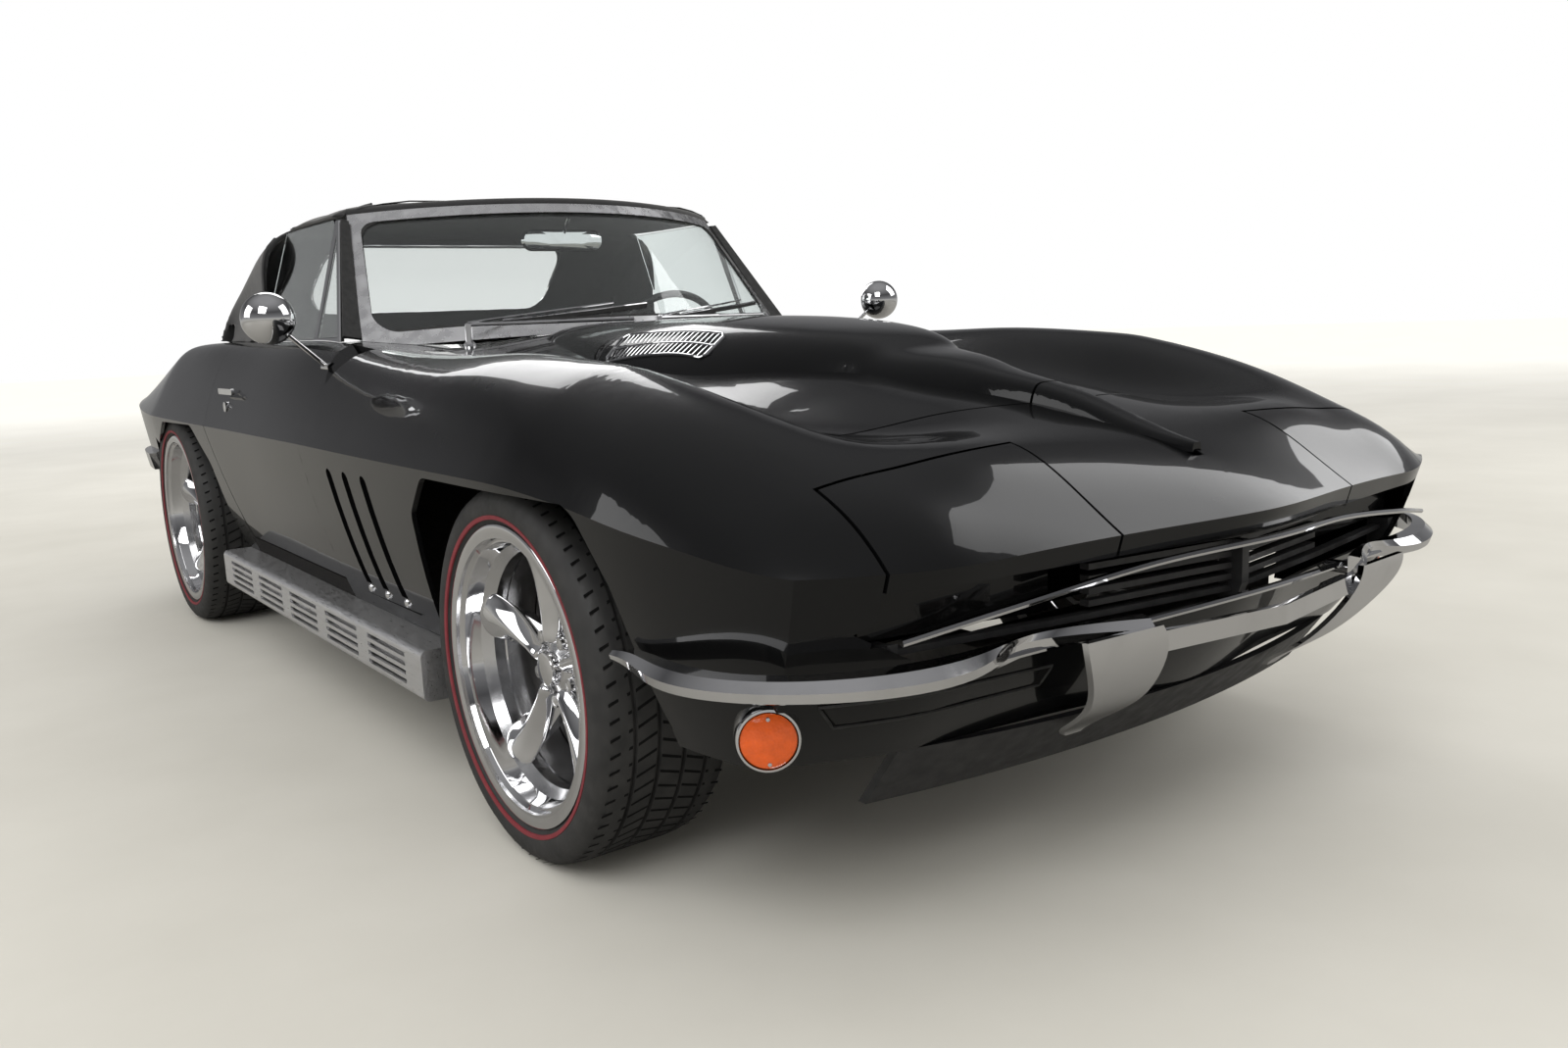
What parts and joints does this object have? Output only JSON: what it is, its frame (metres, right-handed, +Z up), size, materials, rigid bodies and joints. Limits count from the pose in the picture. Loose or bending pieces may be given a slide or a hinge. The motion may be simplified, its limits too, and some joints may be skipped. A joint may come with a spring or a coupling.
{
  "type": "two-seat muscle car",
  "caption": "Low two-seat open car with a raised cloth top, long hood, peaked fenders, flip-up lamps, side pipes and steerable wheels.",
  "frame": {"origin": "centre of the bounding box on the ground under the tyres", "axes": "+Z up; the front faces -Y; +X is the car's left, the driver's side"},
  "size_m": [1.926, 4.4257, 1.2653],
  "materials": {
    "paint": "black gloss",
    "chrome_trim": "polished",
    "polished_rim": "polished",
    "frame_steel": "satin black",
    "engine_mass": "painted",
    "suspension_steel": "worn",
    "tyre_rubber": "matte",
    "window_glass": "clear",
    "top_cloth": "black cloth",
    "rear_pane": "clear",
    "cabin_black": "textured",
    "seat_leather": "black",
    "grille_black": "satin",
    "lamp_glass": "lens",
    "amber_lens": "lens",
    "red_lens": "lens",
    "tub_coat": "carpet and coating"
  },
  "bodies": {
    "body": {"front_body": "paint", "rear_body": "paint", "cabin_tub": "tub_coat", "chassis_frame": "frame_steel", "engine_block": "engine_mass", "front_suspension": "suspension_steel", "rear_suspension": "suspension_steel", "windshield_frame": "chrome_trim", "windshield_glass": "window_glass", "soft_top": "top_cloth", "top_rear_window": "rear_pane", "dashboard": "cabin_black", "steering_column": "cabin_black", "grille": "grille_black", "front_bumpers": "chrome_trim", "turn_signals": "amber_lens", "chin_spoiler": "cabin_black", "rear_bumpers": "chrome_trim", "tail_lamps": "red_lens", "wipers": "cabin_black", "seat_left": "seat_leather", "seat_right": "seat_leather", "side_exhaust_left": "polished_rim", "side_exhaust_right": "polished_rim"},
    "hood": {"hood": "paint"},
    "steering_wheel": {"steering_wheel": "cabin_black"},
    "fuel_lid": {"fuel_lid": "paint"},
    "door_left": {"door_left": "paint", "door_glass_left": "window_glass", "door_trim_left": "chrome_trim"},
    "headlamp_left": {"headlamp_left": "paint"},
    "knuckle_left": {"knuckle_left": "suspension_steel"},
    "front_wheel_left": {"rim_front_left": "polished_rim", "tyre_front_left": "tyre_rubber"},
    "rear_wheel_left": {"rim_rear_left": "polished_rim", "tyre_rear_left": "tyre_rubber"},
    "door_right": {"door_right": "paint", "door_glass_right": "window_glass", "door_trim_right": "chrome_trim"},
    "headlamp_right": {"headlamp_right": "paint"},
    "knuckle_right": {"knuckle_right": "suspension_steel"},
    "front_wheel_right": {"rim_front_right": "polished_rim", "tyre_front_right": "tyre_rubber"},
    "rear_wheel_right": {"rim_rear_right": "polished_rim", "tyre_rear_right": "tyre_rubber"}
  },
  "joints": [
    {"name": "door_left_hinge", "type": "hinge", "parent": "body", "child": "door_left", "pos_m": [0.884, -0.3383, 0.6], "axis": [0, 0, -1], "range_deg": [0, 65]},
    {"name": "headlamp_left_flip", "type": "hinge", "parent": "body", "child": "headlamp_left", "pos_m": [0.4865, -2.0133, 0.597], "axis": [1, 0, 0], "range_deg": [0, 180]},
    {"name": "steer_left", "type": "hinge", "parent": "body", "child": "knuckle_left", "pos_m": [0.6295, -1.304, 0.327], "axis": [0, 0, 1], "range_deg": [-33, 33]},
    {"name": "front_wheel_left_spin", "type": "hinge", "parent": "knuckle_left", "child": "front_wheel_left", "pos_m": [0.7215, -1.304, 0.327], "axis": [1, 0, 0], "continuous": true},
    {"name": "rear_wheel_left_spin", "type": "hinge", "parent": "body", "child": "rear_wheel_left", "pos_m": [0.7315, 1.185, 0.342], "axis": [1, 0, 0], "continuous": true},
    {"name": "door_right_hinge", "type": "hinge", "parent": "body", "child": "door_right", "pos_m": [-0.884, -0.3383, 0.6], "axis": [0, 0, 1], "range_deg": [0, 65]},
    {"name": "headlamp_right_flip", "type": "hinge", "parent": "body", "child": "headlamp_right", "pos_m": [-0.4865, -2.0133, 0.597], "axis": [1, 0, 0], "range_deg": [0, 180]},
    {"name": "steer_right", "type": "hinge", "parent": "body", "child": "knuckle_right", "pos_m": [-0.6295, -1.304, 0.327], "axis": [0, 0, 1], "range_deg": [-33, 33]},
    {"name": "front_wheel_right_spin", "type": "hinge", "parent": "knuckle_right", "child": "front_wheel_right", "pos_m": [-0.7215, -1.304, 0.327], "axis": [1, 0, 0], "continuous": true},
    {"name": "rear_wheel_right_spin", "type": "hinge", "parent": "body", "child": "rear_wheel_right", "pos_m": [-0.7315, 1.185, 0.342], "axis": [1, 0, 0], "continuous": true},
    {"name": "hood_hinge", "type": "hinge", "parent": "body", "child": "hood", "pos_m": [0, -1.7548, 0.7788], "axis": [1, 0, 0], "range_deg": [0, 50]},
    {"name": "steering_wheel_turn", "type": "hinge", "parent": "body", "child": "steering_wheel", "pos_m": [0.375, 0.1148, 0.803], "axis": [0, 0.9397, 0.342], "range_deg": [-570, 570]},
    {"name": "fuel_lid_hinge", "type": "hinge", "parent": "body", "child": "fuel_lid", "pos_m": [0, 1.531, 0.8665], "axis": [1, 0, 0], "range_deg": [0, 85]}
  ],
  "couplings": [
    {"joint": "steer_right", "follows": "steer_left", "ratio": 1},
    {"joint": "steering_wheel_turn", "follows": "steer_left", "ratio": 17}
  ]
}
